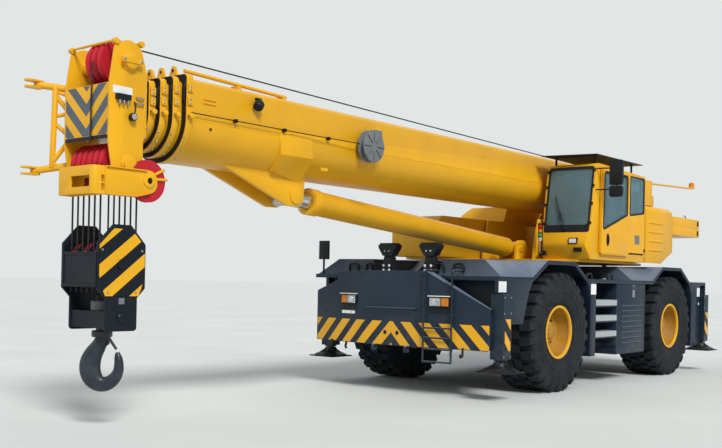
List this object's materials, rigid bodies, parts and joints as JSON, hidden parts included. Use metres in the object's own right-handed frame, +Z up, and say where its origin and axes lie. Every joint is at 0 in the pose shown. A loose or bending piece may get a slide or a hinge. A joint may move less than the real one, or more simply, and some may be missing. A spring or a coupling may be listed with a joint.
{
  "type": "mobile crane",
  "caption": "Mobile crane with a telescopic boom on a slewing platform, side cab, luffing cylinder, hook block, steered large wheels and folding-in outriggers.",
  "frame": {"origin": "on the ground, below the middle of the whole machine with its boom", "axes": "+X to the boom's tip and the carrier's front, +Y to the cab's side (left), +Z up"},
  "size_m": [13.66, 3.8798, 4.11],
  "materials": {
    "yellow_paint": "semi-gloss",
    "navy_paint": "semi-gloss",
    "black_paint": "satin",
    "axle_iron": "rough",
    "tyre_rubber": "matt",
    "crimson_paint": "satin",
    "block_paint": "semi-gloss",
    "bare_steel": "satin",
    "rod_chrome": "polished",
    "rope_steel": "dull",
    "tinted_glass": "clear",
    "seat_plastic": "matt"
  },
  "bodies": {
    "carrier": {"chassis_frame": "navy_paint", "front_panel": "navy_paint", "decks": "navy_paint", "ladders": "navy_paint", "tanks": "navy_paint", "engine": "axle_iron", "engine_hood": "navy_paint", "front_axle": "axle_iron", "rear_axle": "axle_iron", "boom_rest": "black_paint", "carrier_mirror": "black_paint"},
    "beam_fl": {"beam_fl": "navy_paint"},
    "jack_fl": {"jack_fl": "bare_steel"},
    "knuckle_fl": {"knuckle_fl": "axle_iron"},
    "wheel_fl": {"tyre_fl": "tyre_rubber", "rim_fl": "yellow_paint"},
    "beam_fr": {"beam_fr": "navy_paint"},
    "jack_fr": {"jack_fr": "bare_steel"},
    "knuckle_fr": {"knuckle_fr": "axle_iron"},
    "wheel_fr": {"tyre_fr": "tyre_rubber", "rim_fr": "yellow_paint"},
    "beam_rl": {"beam_rl": "navy_paint"},
    "jack_rl": {"jack_rl": "bare_steel"},
    "knuckle_rl": {"knuckle_rl": "axle_iron"},
    "wheel_rl": {"tyre_rl": "tyre_rubber", "rim_rl": "yellow_paint"},
    "beam_rr": {"beam_rr": "navy_paint"},
    "jack_rr": {"jack_rr": "bare_steel"},
    "knuckle_rr": {"knuckle_rr": "axle_iron"},
    "wheel_rr": {"tyre_rr": "tyre_rubber", "rim_rr": "yellow_paint"},
    "superstructure": {"turntable": "yellow_paint", "cab_shell": "yellow_paint", "cab_glass": "tinted_glass", "cab_interior": "seat_plastic", "roof_guard": "black_paint", "cab_mirrors": "black_paint", "side_covers": "yellow_paint", "counterweight": "yellow_paint", "beacon_arm": "yellow_paint"},
    "door": {"cab_door": "yellow_paint", "door_glass": "tinted_glass"},
    "main_drum": {"main_drum": "axle_iron"},
    "aux_drum": {"aux_drum": "axle_iron"},
    "boom_base": {"boom_base": "yellow_paint", "cable_reel": "black_paint"},
    "section_2": {"section_2": "yellow_paint"},
    "section_3": {"section_3": "yellow_paint"},
    "section_4": {"section_4": "yellow_paint"},
    "section_5": {"section_5": "yellow_paint"},
    "upper_sheaves": {"upper_sheaves": "crimson_paint"},
    "lower_sheaves": {"lower_sheaves": "crimson_paint"},
    "aux_sheave": {"aux_sheave": "crimson_paint"},
    "luff_barrel": {"luff_barrel": "yellow_paint"},
    "luff_rod": {"luff_rod": "rod_chrome"},
    "hoist_ropes": {"hoist_ropes": "rope_steel"},
    "hook_block": {"hook_block": "block_paint"},
    "block_sheaves": {"block_sheaves": "crimson_paint"},
    "hook": {"hook": "black_paint"}
  },
  "joints": [
    {"name": "beam_fl_slide", "type": "slide", "parent": "carrier", "child": "beam_fl", "axis": [0, 1, 0], "range_m": [0, 1.95]},
    {"name": "jack_fl_slide", "type": "slide", "parent": "beam_fl", "child": "jack_fl", "axis": [0, 0, -1], "range_m": [0, 0.55]},
    {"name": "steer_fl", "type": "hinge", "parent": "carrier", "child": "knuckle_fl", "pos_m": [-0.7, 0.98, 0.91], "axis": [0, 0, 1], "range_deg": [-22, 22]},
    {"name": "wheel_fl_spin", "type": "hinge", "parent": "knuckle_fl", "child": "wheel_fl", "pos_m": [-0.7, 1.355, 0.91], "axis": [0, 1, 0], "continuous": true},
    {"name": "beam_fr_slide", "type": "slide", "parent": "carrier", "child": "beam_fr", "axis": [0, -1, 0], "range_m": [0, 1.95]},
    {"name": "jack_fr_slide", "type": "slide", "parent": "beam_fr", "child": "jack_fr", "axis": [0, 0, -1], "range_m": [0, 0.55]},
    {"name": "steer_fr", "type": "hinge", "parent": "carrier", "child": "knuckle_fr", "pos_m": [-0.7, -0.98, 0.91], "axis": [0, 0, 1], "range_deg": [-22, 22]},
    {"name": "wheel_fr_spin", "type": "hinge", "parent": "knuckle_fr", "child": "wheel_fr", "pos_m": [-0.7, -1.355, 0.91], "axis": [0, 1, 0], "continuous": true},
    {"name": "beam_rl_slide", "type": "slide", "parent": "carrier", "child": "beam_rl", "axis": [0, 1, 0], "range_m": [0, 1.95]},
    {"name": "jack_rl_slide", "type": "slide", "parent": "beam_rl", "child": "jack_rl", "axis": [0, 0, -1], "range_m": [0, 0.55]},
    {"name": "steer_rl", "type": "hinge", "parent": "carrier", "child": "knuckle_rl", "pos_m": [-4.95, 0.98, 0.91], "axis": [0, 0, 1], "range_deg": [-22, 22]},
    {"name": "wheel_rl_spin", "type": "hinge", "parent": "knuckle_rl", "child": "wheel_rl", "pos_m": [-4.95, 1.355, 0.91], "axis": [0, 1, 0], "continuous": true},
    {"name": "beam_rr_slide", "type": "slide", "parent": "carrier", "child": "beam_rr", "axis": [0, -1, 0], "range_m": [0, 1.95]},
    {"name": "jack_rr_slide", "type": "slide", "parent": "beam_rr", "child": "jack_rr", "axis": [0, 0, -1], "range_m": [0, 0.55]},
    {"name": "steer_rr", "type": "hinge", "parent": "carrier", "child": "knuckle_rr", "pos_m": [-4.95, -0.98, 0.91], "axis": [0, 0, 1], "range_deg": [-22, 22]},
    {"name": "wheel_rr_spin", "type": "hinge", "parent": "knuckle_rr", "child": "wheel_rr", "pos_m": [-4.95, -1.355, 0.91], "axis": [0, 1, 0], "continuous": true},
    {"name": "slew", "type": "hinge", "parent": "carrier", "child": "superstructure", "pos_m": [-2.8, 0, 1.85], "axis": [0, 0, 1], "continuous": true},
    {"name": "door_slide", "type": "slide", "parent": "superstructure", "child": "door", "axis": [-1, 0, 0], "range_m": [0, 0.8]},
    {"name": "main_drum_turn", "type": "hinge", "parent": "superstructure", "child": "main_drum", "pos_m": [-5.92, 0, 2.67], "axis": [0, 1, 0], "continuous": true},
    {"name": "aux_drum_turn", "type": "hinge", "parent": "superstructure", "child": "aux_drum", "pos_m": [-6.38, 0, 3.31], "axis": [0, 1, 0], "continuous": true},
    {"name": "luff", "type": "hinge", "parent": "superstructure", "child": "boom_base", "pos_m": [-4.85, 0, 3.22], "axis": [0, -1, 0], "range_deg": [-1, 78]},
    {"name": "section_2_slide", "type": "slide", "parent": "boom_base", "child": "section_2", "axis": [1, 0, 0], "range_m": [0, 8]},
    {"name": "section_3_slide", "type": "slide", "parent": "section_2", "child": "section_3", "axis": [1, 0, 0], "range_m": [0, 8]},
    {"name": "section_4_slide", "type": "slide", "parent": "section_3", "child": "section_4", "axis": [1, 0, 0], "range_m": [0, 8]},
    {"name": "section_5_slide", "type": "slide", "parent": "section_4", "child": "section_5", "axis": [1, 0, 0], "range_m": [0, 8]},
    {"name": "upper_sheaves_spin", "type": "hinge", "parent": "section_5", "child": "upper_sheaves", "pos_m": [6.33, 0.1, 3.87], "axis": [0, 1, 0], "continuous": true},
    {"name": "lower_sheaves_spin", "type": "hinge", "parent": "section_5", "child": "lower_sheaves", "pos_m": [6.32, 0, 2.8], "axis": [0, 1, 0], "continuous": true},
    {"name": "aux_sheave_spin", "type": "hinge", "parent": "section_5", "child": "aux_sheave", "pos_m": [6.1, 0.428, 2.64], "axis": [0, 1, 0], "continuous": true},
    {"name": "barrel_tilt", "type": "hinge", "parent": "superstructure", "child": "luff_barrel", "pos_m": [-2.06, 0, 2.24], "axis": [0, -1, 0], "range_deg": [-1.19, 88.69]},
    {"name": "rod_slide", "type": "slide", "parent": "luff_barrel", "child": "luff_rod", "axis": [0.9967, 0, 0.081], "range_m": [-0.047, 3.476]},
    {"name": "falls_tilt", "type": "hinge", "parent": "section_5", "child": "hoist_ropes", "pos_m": [6.32, 0, 2.8], "axis": [0, 1, 0], "range_deg": [-1, 78]},
    {"name": "hoist", "type": "slide", "parent": "hoist_ropes", "child": "hook_block", "axis": [0, 0, -1], "range_m": [-0.1, 0.35]},
    {"name": "block_sheaves_spin", "type": "hinge", "parent": "hook_block", "child": "block_sheaves", "pos_m": [6.32, 0, 1.75], "axis": [0, 1, 0], "continuous": true},
    {"name": "hook_swivel", "type": "hinge", "parent": "hook_block", "child": "hook", "pos_m": [6.32, 0, 1.1], "axis": [0, 0, 1], "continuous": true}
  ],
  "couplings": [
    {"joint": "steer_fr", "follows": "steer_fl", "ratio": 1},
    {"joint": "steer_rr", "follows": "steer_rl", "ratio": 1},
    {"joint": "section_3_slide", "follows": "section_2_slide", "ratio": 1},
    {"joint": "section_4_slide", "follows": "section_2_slide", "ratio": 1},
    {"joint": "section_5_slide", "follows": "section_2_slide", "ratio": 1},
    {"joint": "barrel_tilt", "follows": "luff", "ratio": 1.1364},
    {"joint": "rod_slide", "follows": "luff", "m_per_rad": 2.5516},
    {"joint": "falls_tilt", "follows": "luff", "ratio": 1}
  ]
}
